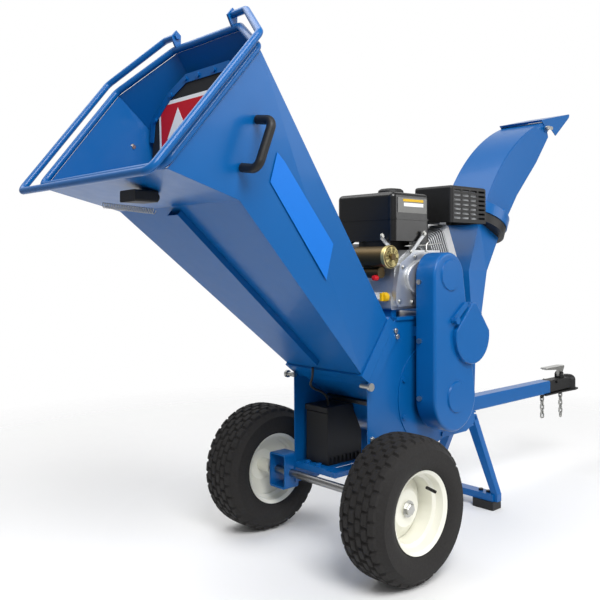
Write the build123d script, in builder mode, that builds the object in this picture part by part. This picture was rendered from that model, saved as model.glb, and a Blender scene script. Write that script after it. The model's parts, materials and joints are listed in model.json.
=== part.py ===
"""Petrol wood chipper on two wheels: funnel hopper, rotor housing, belt drive, engine, swivel chute, tow bar.

Millimetres. +X is the belt side, +Y the towing end, +Z up. The origin is on the ground, under the middle
of the whole machine. Side profiles are drawn in (y, z), with y counted from the wheel axle.
"""
from build123d import *
import os
from math import cos, radians, sin

os.makedirs("parts", exist_ok=True)

# Place of the axle, and the wheels
AXLE_Y = -354.4
AXLE_Z = 203.0
AXLE_R = 12.5
WHEEL_X = 300.0
FIT = 0.05
GAP = 0.4

# Sheet metal body
BODY_HALF = 160.0
PLATE = 4.0
SHEET = 2.5
COLLAR = 34.0

# Rotor and belt drive, axes in (y, z)
ROTOR = (310.0, 465.0)
ROTOR_R = 143.0
HOUSING_R = 153.0
COVER_R = 163.0
SHAFT_R = 20.0
CRANK = (279.0, 838.0)
CRANK_R = 12.7
ROTOR_PULLEY_R = 84.0
ENGINE_PULLEY_R = 56.0
IDLER = (406.0, 650.0)
IDLER_R = 31.0
IDLER_PIVOT = (410.0, 592.0)
GUARD_BACK_X = 190.0
GUARD_FACE_X = 258.0
GUARD_R_TOP = 76.0
GUARD_R_LOW = 107.0
BELT_X = 222.0
BELT_HALF = 8.6

# Seam between the inlet and the hopper, in (y, z): low front end and high rear end
SEAM_LOW = (10.0, 538.0)
SEAM_HIGH = (125.0, 694.0)
HINGE = (1.0, 521.0)

# Hopper mouth: half widths, and distances up the mouth's slope from its lower edge
MOUTH_ORIGIN = (-773.0, 1084.0)
MOUTH_UP = (0.635, 0.7725)
MOUTH_LOW_HALF = 300.0
MOUTH_WIDE_HALF = 322.0
MOUTH_TOP_HALF = 150.0
MOUTH_WIDE_AT = 375.0
MOUTH_TOP_AT = 510.0
FLOOR_BEND = (-559.0, 1030.0)
RIM_TUBE_R = 10.0
BAR_R = 9.5
BAR_PROUD = 38.0

# Engine
ENGINE_PLATE_Z = 706.0
ENGINE_BASE_Z = 716.0
TANK_LOW_Z = 950.0
TANK_TOP_Z = 1102.0

# Discharge duct and chute
DUCT_AXIS_Y = 785.0
DUCT_AXIS_Z = 1036.0
DUCT_LEAN = 25.0
COLLAR_R = 128.0
CHUTE_HALF = 92.0

# Towing gear and stand
BAR_SIDE = 52.0
BAR_CENTRE_Z = 354.0
BAR_END_Y = 1305.0
BALL_Y = 1500.0
BALL_R = 25.0
STAND_PIVOT = (716.0, 312.0)
FOOT_HALF = 100.0


def side(x):
    """Plane across X: sketches in (y from the axle, z), extruded towards +X."""
    return Plane(origin=(x, AXLE_Y, 0), x_dir=(0, 1, 0), z_dir=(1, 0, 0))


def level(z):
    """Horizontal plane: sketches in (x, y from the axle), extruded upwards."""
    return Plane(origin=(0, AXLE_Y, z))


def facing(y):
    """Plane across Y: sketches in (x, z), extruded towards the hopper."""
    return Plane(origin=(0, AXLE_Y + y, 0), x_dir=(1, 0, 0), z_dir=(0, -1, 0))


def at(x, y, z):
    """A point given by x, y from the axle, and z."""
    return Vector(x, AXLE_Y + y, z)


def axis_x(centre):
    """The axis along X through a point in (y, z)."""
    return Axis(at(0, *centre), (1, 0, 0))


def turning_plane(centre):
    """Plane for a profile in (x, radius) that is revolved about an axis along X."""
    return Plane(origin=at(0, *centre), x_dir=(1, 0, 0), z_dir=(0, -1, 0))


def save(name, builder):
    """Label a finished piece and write it under its own name."""
    builder.part.label = name
    export_step(builder.part, f"parts/{name}.step")


def mirrored(right):
    """The left-hand twin of a right-hand piece."""
    with BuildPart() as left:
        add(right.part.mirror(Plane.YZ))
    return left


def group(*builders):
    """Separate solids that share one node."""
    with BuildPart() as together:
        for builder in builders:
            add(builder.part)
    return together


def bar_x(profile_centre, radius, low_x, high_x, bore=0.0):
    """A round bar or tube along X, centred on a point in (y, z)."""
    with BuildPart() as bar:
        with BuildSketch(side(low_x)):
            with Locations(profile_centre):
                Circle(radius)
                if bore:
                    Circle(bore, mode=Mode.SUBTRACT)
        extrude(amount=high_x - low_x)
    return bar


def turned(centre, profile):
    """A closed (x, radius) polygon revolved about an axis along X."""
    with BuildPart() as part:
        with BuildSketch(turning_plane(centre)):
            with BuildLine():
                Polyline(*profile, close=True)
            make_face()
        revolve(axis=axis_x(centre))
    return part


def slab(outline, low_x, high_x, corner=0.0):
    """A closed (y, z) polygon extruded across X, with its corners rounded."""
    with BuildPart() as part:
        with BuildSketch(side(low_x)) as profile:
            with BuildLine():
                Polyline(*outline, close=True)
            make_face()
            if corner:
                fillet(profile.vertices(), corner)
        extrude(amount=high_x - low_x)
    return part


def bent_sheet(polygons, inward, thickness=SHEET):
    """One folded sheet: flat polygons that share fold lines, thickened in one direction."""
    with BuildPart() as sheet:
        for corners in polygons:
            with BuildLine(mode=Mode.PRIVATE) as outline:
                Polyline(*[at(*corner) for corner in corners], close=True)
            extrude(Face(outline.wire()), amount=thickness, dir=inward)
    return sheet


def tube_along(points, radius, bend, bore=0.0):
    """A round tube along straight runs with bends of one radius."""
    with BuildPart() as tube:
        with BuildLine() as path:
            FilletPolyline(*points, radius=bend)
        with BuildSketch(Plane(origin=path.line @ 0, z_dir=path.line % 0)):
            Circle(radius)
            if bore:
                Circle(bore, mode=Mode.SUBTRACT)
        sweep(path=path.line)
    return tube


def bolt_x(centre, x, outward, radius=8.0, head=6.0):
    """The round head of a bolt whose shank runs along X, standing on a face at x."""
    with BuildPart() as bolt:
        with BuildSketch(side(x)):
            with Locations(centre):
                Circle(radius)
        extrude(amount=head * outward)
        fillet(bolt.faces().sort_by(Axis.X)[-1 if outward > 0 else 0].edges(), head * 0.4)
    return bolt


def seam_point(along, off):
    """A point in (y, z): along the seam from its low end, and off it towards the hopper."""
    run = (SEAM_HIGH[0] - SEAM_LOW[0], SEAM_HIGH[1] - SEAM_LOW[1])
    length = (run[0] ** 2 + run[1] ** 2) ** 0.5
    unit = (run[0] / length, run[1] / length)
    return (SEAM_LOW[0] + unit[0] * along - unit[1] * off, SEAM_LOW[1] + unit[1] * along + unit[0] * off)


SEAM_LENGTH = ((SEAM_HIGH[0] - SEAM_LOW[0]) ** 2 + (SEAM_HIGH[1] - SEAM_LOW[1]) ** 2) ** 0.5


def mouth_point(half, up, proud=0.0):
    """A point in (x, y, z) on the mouth's plane, or proud of it."""
    y = MOUTH_ORIGIN[0] + MOUTH_UP[0] * up - MOUTH_UP[1] * proud
    z = MOUTH_ORIGIN[1] + MOUTH_UP[1] * up + MOUTH_UP[0] * proud
    return (half, y, z)


# ---------------------------------------------------------------- wheels
TYRE_SECTION = [(-55, 107), (-61, 114.8), (-70, 121), (-80, 148), (-79, 172), (-72, 192), (-52, 200.5),
                (-22, 203), (22, 203), (52, 200.5), (72, 192), (79, 172), (80, 148), (70, 121), (61, 114.8),
                (55, 107)]
TYRE_CAVITY = [(-48, 111), (-62, 125), (-71, 150), (-68, 176), (-58, 188), (0, 193),
               (58, 188), (68, 176), (71, 150), (62, 125), (48, 111)]
HUB_IN, HUB_OUT, HUB_R, DISC_X = -43.0, 18.0, 21.0, 8.0
RIM_WELL = [(-63, 114), (-56, 106), (-34, 103.6), (-28, 94), (28, 94), (34, 103.6), (56, 106), (63, 114), (66, 114),
            (59, 104), (36, 100.5), (30, 91), (-30, 91), (-36, 100.5), (-59, 104), (-66, 114)]
RIM_DISC = [(-22, 92), (-19, 92), (DISC_X + 3, 50), (DISC_X + 5, HUB_R - 1), (DISC_X + 1, HUB_R - 1),
            (DISC_X - 1, 50)]
RIM_HUB = [(HUB_IN, AXLE_R + FIT), (HUB_IN, HUB_R), (HUB_OUT, HUB_R), (HUB_OUT, AXLE_R + FIT)]


def wheel_section(profile, mode=Mode.ADD):
    """One closed (x, radius) outline of the right-hand wheel, x from the wheel's middle plane."""
    with BuildLine(mode=Mode.PRIVATE) as outline:
        Polyline(*[(WHEEL_X + x, r) for x, r in profile], close=True)
    make_face(outline.edges(), mode=mode)


with BuildPart() as tyre_right:
    with BuildSketch(turning_plane((0, AXLE_Z))):
        wheel_section(TYRE_SECTION)
        wheel_section(TYRE_CAVITY, Mode.SUBTRACT)
    revolve(axis=axis_x((0, AXLE_Z)))
save("tyre_right", tyre_right)
save("tyre_left", mirrored(tyre_right))

# The rim: two bead flanges round a well, a dished disc and a hub tube on the axle
with BuildPart() as rim_right:
    with BuildSketch(turning_plane((0, AXLE_Z))):
        wheel_section(RIM_WELL)
        wheel_section(RIM_DISC)
        wheel_section(RIM_HUB)
    revolve(axis=axis_x((0, AXLE_Z)))
save("rim_right", rim_right)
save("rim_left", mirrored(rim_right))

# ---------------------------------------------------------------- axle and chassis
AXLE_END_X = WHEEL_X + HUB_OUT + 8
save("axle", bar_x((0, AXLE_Z), AXLE_R, -AXLE_END_X, AXLE_END_X))

BRACKET_OUT_X, BRACKET_LOW_Z, BRACKET_TOP_Z = 236.0, 152.0, 264.0
BRACKET_WALL = 6.0
with BuildPart() as bracket_right:
    with BuildSketch(facing(30)):
        with Locations(((BODY_HALF + BRACKET_OUT_X) / 2, (BRACKET_LOW_Z + BRACKET_TOP_Z) / 2)):
            RectangleRounded(BRACKET_OUT_X - BODY_HALF, BRACKET_TOP_Z - BRACKET_LOW_Z, 10)
            RectangleRounded(BRACKET_OUT_X - BODY_HALF - 2 * BRACKET_WALL,
                             BRACKET_TOP_Z - BRACKET_LOW_Z - 2 * BRACKET_WALL, 5, mode=Mode.SUBTRACT)
    extrude(amount=58)
    with BuildSketch(side(BODY_HALF - PLATE)):
        with Locations((0, AXLE_Z)):
            Circle(AXLE_R)
    extrude(amount=BRACKET_OUT_X, mode=Mode.SUBTRACT)

SIDE_OUTLINE = [(14, 172), SEAM_LOW, SEAM_HIGH, (136, ENGINE_PLATE_Z), (600, ENGINE_PLATE_Z), (562, 596),
                (548, 334), (505, 314), (232, 314), (120, 172)]
with BuildPart() as side_plate_right:
    with BuildSketch(side(BODY_HALF - PLATE)):
        with BuildLine():
            Polyline(*SIDE_OUTLINE, close=True)
        make_face()
        with Locations(ROTOR):
            Circle(SHAFT_R + 8, mode=Mode.SUBTRACT)
    extrude(amount=PLATE)
save("side_plates", group(side_plate_right, mirrored(side_plate_right)))

INNER = BODY_HALF - PLATE
RAIL_Z = 220.0
with BuildPart() as chassis_rails:
    with BuildSketch(level(RAIL_Z)):
        with BuildLine():
            Polyline((-INNER, 14), (-INNER, 62), (-20, 62), (-20, 300), (22, 300), (22, 14), close=True)
        make_face()
    extrude(amount=16)
    with BuildSketch(level(RAIL_Z)):
        with Locations((0, 308)):
            Rectangle(2 * INNER, 16)
    extrude(amount=86)
    with BuildSketch(facing(320)):
        with Locations((0, RAIL_Z + 38)):
            Rectangle(2 * INNER - 110, 46)
    extrude(amount=30, mode=Mode.SUBTRACT)

TRAY_TOP = RAIL_Z + 20
with BuildPart() as battery_tray:
    with BuildSketch(level(RAIL_Z + 16)):
        with Locations((-87, 118)):
            Rectangle(130, 208)
    extrude(amount=4)
    with BuildSketch(level(TRAY_TOP)):
        with Locations((-112, 28), (-62, 28)):
            RegularPolygon(9, 6)
    extrude(amount=8)
save("chassis_rails", group(chassis_rails, battery_tray, bracket_right, mirrored(bracket_right)))

BATTERY_X = (-136.0, -40.0)
BATTERY_OUTLINE = [(44, TRAY_TOP), (202, TRAY_TOP), (202, 330), (163, 406), (44, 406)]
LID_OUTLINE = [(41, 406), (163, 406), (156, 424), (41, 424)]
LID_TOP = 424.0
with BuildPart() as battery_ribs:
    with BuildSketch(side(BATTERY_X[1])):
        with GridLocations(18, 1, 8, 1):
            with Locations((123, TRAY_TOP + 14)):
                Rectangle(5, 20)
    extrude(amount=5)
save("battery_box", group(slab(BATTERY_OUTLINE, *BATTERY_X, 5), battery_ribs,
                          slab(LID_OUTLINE, BATTERY_X[0] - 3, BATTERY_X[1] + 3, 3)))

# ---------------------------------------------------------------- inlet and rotor housing
def seam_ring(name, off_low, off_high, lip, half):
    """A square collar round the seam: two side strips, and floor and top strips of a given half width."""
    low, high = -6.0, SEAM_LENGTH + 6.0
    with BuildPart() as ring:
        for x in (BODY_HALF, -BODY_HALF - lip):
            with BuildSketch(side(x)):
                with BuildLine():
                    Polyline(seam_point(low, off_low), seam_point(high, off_low), seam_point(high, off_high),
                             seam_point(low, off_high), close=True)
                make_face()
            extrude(amount=lip)
        for start, end in ((low, 0.0), (SEAM_LENGTH, high)):
            with BuildSketch(side(-half)):
                with BuildLine():
                    Polyline(seam_point(start, off_low), seam_point(end, off_low), seam_point(end, off_high),
                             seam_point(start, off_high), close=True)
                make_face()
            extrude(amount=2 * half)
    save(name, ring)


LIP = 6.0
seam_ring("inlet_frame", -COLLAR, -0.2, LIP, INNER)
seam_ring("hopper_flange", 0.2, COLLAR, LIP, BODY_HALF)

INLET_FLOOR_END = (162.0, 444.0)
with BuildPart() as inlet_floor:
    with BuildSketch(side(-INNER)):
        with BuildLine():
            Line(seam_point(3, 0), INLET_FLOOR_END)
        trace(line_width=3)
    extrude(amount=2 * INNER)


def round_rotor(angle, radius=HOUSING_R):
    """A point in (y, z) on a circle round the rotor's axis."""
    return (ROTOR[0] + radius * cos(radians(angle)), ROTOR[1] + radius * sin(radians(angle)))


with BuildPart() as bed_knife:
    with BuildSketch(side(-INNER)):
        with BuildLine():
            Polyline(round_rotor(189.5, ROTOR_R + 3), round_rotor(189.5, ROTOR_R + 19),
                     round_rotor(194, ROTOR_R + 19), round_rotor(194, ROTOR_R + 3), close=True)
        make_face()
    extrude(amount=2 * INNER)
save("bed_knife", bed_knife)

DUCT_BACK = (600.0, ENGINE_PLATE_Z - 2)
with BuildPart() as housing_wrapper:
    with BuildSketch(side(-INNER)):
        with BuildLine():
            ThreePointArc(round_rotor(195.5), round_rotor(260), round_rotor(330))
            Polyline(round_rotor(330), (560, 592), DUCT_BACK)
        trace(line_width=3)
    extrude(amount=2 * INNER)

with BuildPart() as housing_roof:
    with BuildSketch(side(-INNER)):
        with BuildLine():
            Line(seam_point(SEAM_LENGTH - 2.5, 0), round_rotor(128))
            ThreePointArc(round_rotor(128), round_rotor(75), round_rotor(24))
            Line(round_rotor(24), (540, ENGINE_PLATE_Z - 2))
        trace(line_width=3)
    extrude(amount=2 * INNER)
save("rotor_housing", group(inlet_floor, housing_wrapper, housing_roof))


def cover(outward):
    """A bolted round cover with its flanged bearing, round one end of the rotor shaft."""
    low = BODY_HALF if outward > 0 else -BODY_HALF - 3
    with BuildPart() as plate:
        with BuildSketch(side(low)):
            with Locations(ROTOR):
                Circle(COVER_R)
                Circle(SHAFT_R + 8, mode=Mode.SUBTRACT)
        extrude(amount=3)
        with BuildSketch(side(outward * (BODY_HALF + 3))):
            with Locations(ROTOR):
                with PolarLocations(150, 8, start_angle=22.5):
                    Circle(7.5)
        extrude(amount=outward * 5)
    return plate


save("side_covers", group(cover(1), cover(-1)))

with BuildPart() as bearings:
    for low, tall in ((BODY_HALF + 3, 12), (-BODY_HALF - 27, 24)):
        with BuildSketch(side(low)):
            with Locations(ROTOR):
                RectangleRounded(104, 104, 20)
                Circle(SHAFT_R + FIT, mode=Mode.SUBTRACT)
        extrude(amount=tall)
    for low, tall in ((BODY_HALF + 15, 12), (-BODY_HALF - 39, 12)):
        with BuildSketch(side(low)):
            with Locations(ROTOR):
                Circle(38)
                Circle(SHAFT_R + FIT, mode=Mode.SUBTRACT)
        extrude(amount=tall)
save("bearings", bearings)

# ---------------------------------------------------------------- rotor, its knives and pulley
DISC_R, DISC_WIDE = 118.0, 12.0
ROTOR_END = INNER - 8
DISC_PLACES = [-ROTOR_END, -ROTOR_END / 3 - DISC_WIDE / 2, ROTOR_END / 3 - DISC_WIDE / 2, ROTOR_END - DISC_WIDE]
KNIFE_REACH, KNIFE_TALL, KNIFE_THICK, KNIFE_OFF = 114.5, 54.0, 11.0, -17.0
with BuildPart() as rotor:
    for low in DISC_PLACES:
        with BuildSketch(side(low)):
            with Locations(ROTOR):
                Circle(DISC_R)
                with PolarLocations(DISC_R - 6, 2):
                    Rectangle(50, 46, mode=Mode.SUBTRACT)
        extrude(amount=DISC_WIDE)
    with BuildSketch(side(-ROTOR_END)):
        with Locations(ROTOR):
            Circle(34)
            with PolarLocations(102, 2):
                with Locations((0, -30)):
                    Rectangle(30, 14)
    extrude(amount=2 * ROTOR_END)
    with BuildSketch(side(-BODY_HALF - 44)):
        with Locations(ROTOR):
            Circle(SHAFT_R)
    extrude(amount=BODY_HALF + 44 + BELT_X + 22)
save("rotor", rotor)

with BuildPart() as rotor_knives:
    with BuildSketch(side(-INNER + 10)):
        with Locations(ROTOR):
            with PolarLocations(KNIFE_REACH, 2):
                with Locations((0, KNIFE_OFF)):
                    Rectangle(KNIFE_TALL, KNIFE_THICK)
    extrude(amount=2 * (INNER - 10))
save("rotor_knives", rotor_knives)


def pulley(centre, radius, bore):
    """A one-groove V-belt pulley, its groove centred on the belt."""
    return turned(centre, [
        (BELT_X - 14, bore), (BELT_X - 14, radius + 4), (BELT_X - 10, radius + 4), (BELT_X - 6, radius - 9),
        (BELT_X + 6, radius - 9), (BELT_X + 10, radius + 4), (BELT_X + 14, radius + 4), (BELT_X + 14, bore)])


save("rotor_pulley", pulley(ROTOR, ROTOR_PULLEY_R, SHAFT_R + 0.02))
save("engine_pulley", group(pulley(CRANK, ENGINE_PULLEY_R, CRANK_R + 0.02), bar_x(CRANK, CRANK_R, 179, BELT_X + 20)))

IDLER_X = BELT_X
with BuildPart() as idler:
    with BuildSketch(side(IDLER_X - 9)):
        with Locations(IDLER):
            Circle(IDLER_R)
    extrude(amount=18)
    with BuildSketch(side(IDLER_X - 20)):
        with Locations(IDLER):
            Circle(10)
    extrude(amount=24)
    with BuildSketch(side(IDLER_X - 22)):
        with BuildLine():
            Line(IDLER, IDLER_PIVOT)
        trace(line_width=26)
        with Locations(IDLER_PIVOT, IDLER):
            Circle(13)
        with Locations(IDLER_PIVOT):
            Circle(8 + FIT, mode=Mode.SUBTRACT)
    extrude(amount=8)
save("idler", idler)

# The belt's path: outer tangents of the two pulleys, with the slack run pressed in by the idler
BELT_RUN = 4.6


def tangent_foot(centre, radius, degrees_from_y):
    """A point in (y, z) on a circle, at an angle from the +Y direction."""
    return (centre[0] + radius * cos(radians(degrees_from_y)), centre[1] + radius * sin(radians(degrees_from_y)))


with BuildPart() as drive_belt:
    with BuildSketch(side(BELT_X - BELT_HALF)):
        with BuildLine():
            big = ROTOR_PULLEY_R + BELT_RUN
            small = ENGINE_PULLEY_R + BELT_RUN
            l1 = Line(tangent_foot(CRANK, small, 180.5), tangent_foot(ROTOR, big, 180.5))
            l2 = ThreePointArc(l1 @ 1, tangent_foot(ROTOR, big, 270), tangent_foot(ROTOR, big, 9))
            l3 = Line(l2 @ 1, tangent_foot(CRANK, small, 9))
            ThreePointArc(l3 @ 1, tangent_foot(CRANK, small, 90), l1 @ 0)
        trace(line_width=7)
    extrude(amount=2 * BELT_HALF)
save("drive_belt", drive_belt)

# ---------------------------------------------------------------- belt guard
POD_CENTRE = (384.0, 652.0)
POD_R = 92.0


def guard_outline(grow):
    """The guard's outline in (y, z): two arcs joined by straight sides."""
    top, low = GUARD_R_TOP + grow, GUARD_R_LOW + grow
    with BuildLine(mode=Mode.PRIVATE) as outline:
        left = Line((CRANK[0] - top, CRANK[1]), (ROTOR[0] - low, ROTOR[1]))
        bottom = ThreePointArc(left @ 1, (ROTOR[0], ROTOR[1] - low), (ROTOR[0] + low, ROTOR[1]))
        right = Line(bottom @ 1, (CRANK[0] + top, CRANK[1]))
        ThreePointArc(right @ 1, (CRANK[0], CRANK[1] + top), left @ 0)
    return outline.wire()


def pod_outline(grow):
    """The tensioner bulge's outline in (y, z): a circle cut by two chords at its top."""
    r = POD_R + grow
    with BuildLine(mode=Mode.PRIVATE) as outline:
        cut_left = (POD_CENTRE[0] + r * cos(radians(168)), POD_CENTRE[1] + r * sin(radians(168)))
        cut_right = (POD_CENTRE[0] + r * cos(radians(8)), POD_CENTRE[1] + r * sin(radians(8)))
        base = ThreePointArc(cut_left, (POD_CENTRE[0], POD_CENTRE[1] - r), cut_right)
        peak = (POD_CENTRE[0] - 2, POD_CENTRE[1] + 106 + grow)
        Polyline(base @ 1, (POD_CENTRE[0] + 18, POD_CENTRE[1] + 104 + grow), peak, base @ 0)
    return outline.wire()


GUARD_WALL = 2.5
with BuildPart() as guard_cover:
    with BuildSketch(side(GUARD_BACK_X + 0.4)):
        make_face(guard_outline(0).edges())
    extrude(amount=GUARD_FACE_X - GUARD_BACK_X - 0.4)
    fillet(guard_cover.faces().sort_by(Axis.X)[-1].edges(), 9)
    with BuildSketch(side(GUARD_BACK_X + 0.4)):
        make_face(pod_outline(0).edges())
    extrude(amount=GUARD_FACE_X - GUARD_BACK_X - 0.4)
    with BuildSketch(side(GUARD_BACK_X + 0.4)):
        make_face(guard_outline(-GUARD_WALL).edges())
        make_face(pod_outline(-GUARD_WALL).edges())
    extrude(amount=GUARD_FACE_X - GUARD_BACK_X - 0.4 - 2 * GUARD_WALL, mode=Mode.SUBTRACT)
    with BuildSketch(side(GUARD_FACE_X - 1)):
        with Locations((CRANK[0] + 4, CRANK[1] + 6), (ROTOR[0] + 4, ROTOR[1])):
            Circle(50)
    extrude(amount=6, taper=30)
save("guard_cover", guard_cover)

with BuildPart() as guard_back:
    with BuildSketch(side(GUARD_BACK_X - 2.5)):
        make_face(guard_outline(0).edges())
        make_face(pod_outline(0).edges())
        with Locations(CRANK):
            Circle(CRANK_R + 12, mode=Mode.SUBTRACT)
        with Locations(ROTOR):
            Circle(42, mode=Mode.SUBTRACT)
    extrude(amount=2.5)
    with BuildSketch(side(BODY_HALF)):
        with Locations((236, 668), (300, 668), (450, 668)):
            Rectangle(22, 30)
    extrude(amount=GUARD_BACK_X - 2.5 - BODY_HALF)
    with BuildSketch(side(GUARD_BACK_X)):
        with Locations(IDLER_PIVOT):
            Circle(8)
    extrude(amount=IDLER_X - GUARD_BACK_X - 12)
save("guard_back", guard_back)

with BuildPart() as tensioner_cap:
    with BuildSketch(side(GUARD_FACE_X + 0.4)):
        make_face(pod_outline(-2).edges())
    extrude(amount=14)
    fillet(tensioner_cap.faces().sort_by(Axis.X)[-1].edges(), 4)
    with BuildSketch(side(GUARD_FACE_X + 0.4)):
        with Locations((POD_CENTRE[0] - 62, POD_CENTRE[1] + 74)):
            with Locations(Location((0, 0, 0), (0, 0, 1), 36)):
                SlotOverall(96, 20)
    extrude(amount=7)
    with BuildSketch(side(GUARD_FACE_X + 7.4)):
        with Locations((POD_CENTRE[0] - 88, POD_CENTRE[1] + 52)):
            RegularPolygon(12, 6)
    extrude(amount=12)
save("tensioner_cap", tensioner_cap)

# ---------------------------------------------------------------- engine
with BuildPart() as engine_plate:
    with BuildSketch(level(ENGINE_PLATE_Z)):
        with Locations((0, 268)):
            Rectangle(2 * BODY_HALF + 12, 264)
    extrude(amount=ENGINE_BASE_Z - ENGINE_PLATE_Z)
    with BuildSketch(level(ENGINE_BASE_Z)):
        with Locations((-60, 150), (120, 150), (-60, 386), (120, 386)):
            Rectangle(46, 22)
    extrude(amount=22)
save("engine_plate", engine_plate)

BLOCK_LOW_X, BLOCK_HIGH_X = -78.0, 150.0
BLOCK_OUTLINE = [(128, 738), (410, 738), (412, 768), (398, 800), (400, 880), (372, 922), (210, 922), (146, 884),
                 (140, 790), (126, 768)]
save("engine_block", slab(BLOCK_OUTLINE, BLOCK_LOW_X, BLOCK_HIGH_X, 8))

COVER_OUTLINE = [(134, 748), (404, 748), (404, 800), (396, 884), (356, 916), (216, 916), (154, 880), (134, 800)]
COVER_FACE_X = BLOCK_HIGH_X + 16
with BuildPart() as engine_side_cover:
    with BuildSketch(side(BLOCK_HIGH_X)) as cover_profile:
        with BuildLine():
            Polyline(*COVER_OUTLINE, close=True)
        make_face()
        fillet(cover_profile.vertices(), 18)
    extrude(amount=COVER_FACE_X - BLOCK_HIGH_X)
    with BuildSketch(side(COVER_FACE_X)):
        with Locations((CRANK[0] - 8, CRANK[1] - 4)):
            Ellipse(96, 60)
    extrude(amount=12)
    fillet(engine_side_cover.faces().sort_by(Axis.X)[-1].edges(), 5)
    with BuildSketch(side(BLOCK_HIGH_X)):
        with Locations(CRANK):
            Circle(CRANK_R + 0.6)
    extrude(amount=30, mode=Mode.SUBTRACT)
save("engine_side_cover", engine_side_cover)

CYLINDER_LEAN = 25.0
CYLINDER_PLANE = Plane(origin=at(0, *CRANK), x_dir=(1, 0, 0),
                       z_dir=(0, cos(radians(CYLINDER_LEAN)), sin(radians(CYLINDER_LEAN))))
FIN_COUNT, FIN_PITCH = 8, 11.0
with BuildPart() as cylinder:
    with BuildSketch(CYLINDER_PLANE.offset(132)):
        with Locations((22, 0)):
            Circle(56)
    extrude(amount=126)
    for fin in range(FIN_COUNT):
        with BuildSketch(CYLINDER_PLANE.offset(138 + fin * FIN_PITCH)):
            with Locations((22, 0)):
                RectangleRounded(168, 152, 16)
        extrude(amount=4)
    with BuildSketch(CYLINDER_PLANE.offset(226)):
        with Locations((22, 0)):
            RectangleRounded(160, 140, 12)
    extrude(amount=34)
    with BuildSketch(CYLINDER_PLANE.offset(260)):
        with Locations((22, 0)):
            RectangleRounded(120, 92, 14)
    extrude(amount=22)
    fillet(cylinder.faces().sort_by(Axis(at(0, *CRANK), CYLINDER_PLANE.z_dir))[-1].edges(), 6)
save("cylinder", cylinder)

RECOIL_X = -186.0
with BuildPart() as recoil_housing:
    with BuildSketch(side(RECOIL_X + 20)):
        with Locations(CRANK):
            Circle(108)
    extrude(amount=BLOCK_LOW_X - GAP - RECOIL_X - 20)
    with BuildSketch(side(RECOIL_X)):
        with Locations(CRANK):
            Circle(98)
    extrude(amount=20)
    with BuildSketch(side(RECOIL_X + 30)):
        with BuildLine():
            Polyline((CRANK[0], CRANK[1] - 60), (505, 850), (520, 930), (470, 960), (CRANK[0], CRANK[1] + 92),
                     close=True)
        make_face()
    extrude(amount=BLOCK_LOW_X - GAP - RECOIL_X - 30)
    fillet(recoil_housing.faces().sort_by(Axis.X)[0].edges(), 8)
    with BuildSketch(side(RECOIL_X)):
        with Locations(CRANK):
            with PolarLocations(68, 12):
                SlotOverall(34, 8)
    extrude(amount=6, mode=Mode.SUBTRACT)
save("recoil_housing", recoil_housing)

HANDLE_AT = (CRANK[0] - 132, CRANK[1] + 12)
with BuildPart() as recoil_handle:
    with BuildSketch(level(HANDLE_AT[1])):
        with Locations((RECOIL_X + 58, HANDLE_AT[0] + 2)):
            SlotOverall(84, 20)
    extrude(amount=17)
    fillet(recoil_handle.edges().filter_by(Axis.Z, reverse=True), 5)
    with BuildSketch(facing(HANDLE_AT[0] + 8)):
        with Locations((RECOIL_X + 58, HANDLE_AT[1] + 8.5)):
            Circle(4)
    extrude(amount=-3)
save("recoil_handle", recoil_handle)

TANK_X = (-92.0, 150.0)
TANK_Y = (139.0, 326.0)
with BuildPart() as fuel_tank:
    with BuildSketch(level(TANK_LOW_Z)):
        with Locations((sum(TANK_X) / 2, sum(TANK_Y) / 2)):
            RectangleRounded(TANK_X[1] - TANK_X[0], TANK_Y[1] - TANK_Y[0], 20)
    extrude(amount=TANK_TOP_Z - TANK_LOW_Z)
    fillet(fuel_tank.faces().sort_by(Axis.Z)[-1].edges(), 16)
    with BuildSketch(level(TANK_LOW_Z + 66)):
        with Locations((sum(TANK_X) / 2, sum(TANK_Y) / 2)):
            RectangleRounded(TANK_X[1] - TANK_X[0] + 6, TANK_Y[1] - TANK_Y[0] + 6, 22)
    extrude(amount=5)
    with BuildSketch(level(922.2)):
        with Locations((sum(TANK_X) / 2, 190), (sum(TANK_X) / 2, 300)):
            Rectangle(120, 16)
    extrude(amount=TANK_LOW_Z - 922.2)
    with BuildSketch(level(TANK_TOP_Z - 2)):
        with Locations((56, 240)):
            Circle(30)
    extrude(amount=16)
save("fuel_tank", fuel_tank)

with BuildPart() as fuel_cap:
    with BuildSketch(level(TANK_TOP_Z + 14 + GAP)):
        with Locations((56, 240)):
            Circle(42)
            with PolarLocations(44, 10):
                Circle(6)
    extrude(amount=24)
    fillet(fuel_cap.faces().sort_by(Axis.Z)[-1].edges(), 4)
save("fuel_cap", fuel_cap)

FILTER_LOW_Z, FILTER_TOP_Z = 1014.0, 1100.0
with BuildPart() as air_filter:
    with BuildSketch(level(FILTER_LOW_Z)):
        with Locations((-86, 452)):
            RectangleRounded(126, 150, 22)
    extrude(amount=FILTER_TOP_Z - FILTER_LOW_Z)
    fillet(air_filter.faces().sort_by(Axis.Z)[-1].edges(), 14)
    with BuildSketch(level(FILTER_TOP_Z - 2)):
        with Locations((-86, 452)):
            Circle(13)
    extrude(amount=16)
    with BuildSketch(level(FILTER_LOW_Z - 50)):
        with Locations((-83, 428)):
            Rectangle(42, 56)
    extrude(amount=50)
save("air_filter", air_filter)

GUARD_BOX = ((26.0, 182.0), (396.0, 600.0), (1014.0, 1136.0))
with BuildPart() as muffler:
    with BuildSketch(level(GUARD_BOX[2][0] + 12)):
        with Locations((102, 496)):
            RectangleRounded(128, 176, 30)
    extrude(amount=98)
    fillet(muffler.faces().sort_by(Axis.Z)[-1].edges(), 14)
    with BuildSketch(level(GUARD_BOX[2][0] - 2)):
        with Locations((70, 470)):
            Rectangle(44, 36)
    extrude(amount=16)
save("muffler", muffler)

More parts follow.
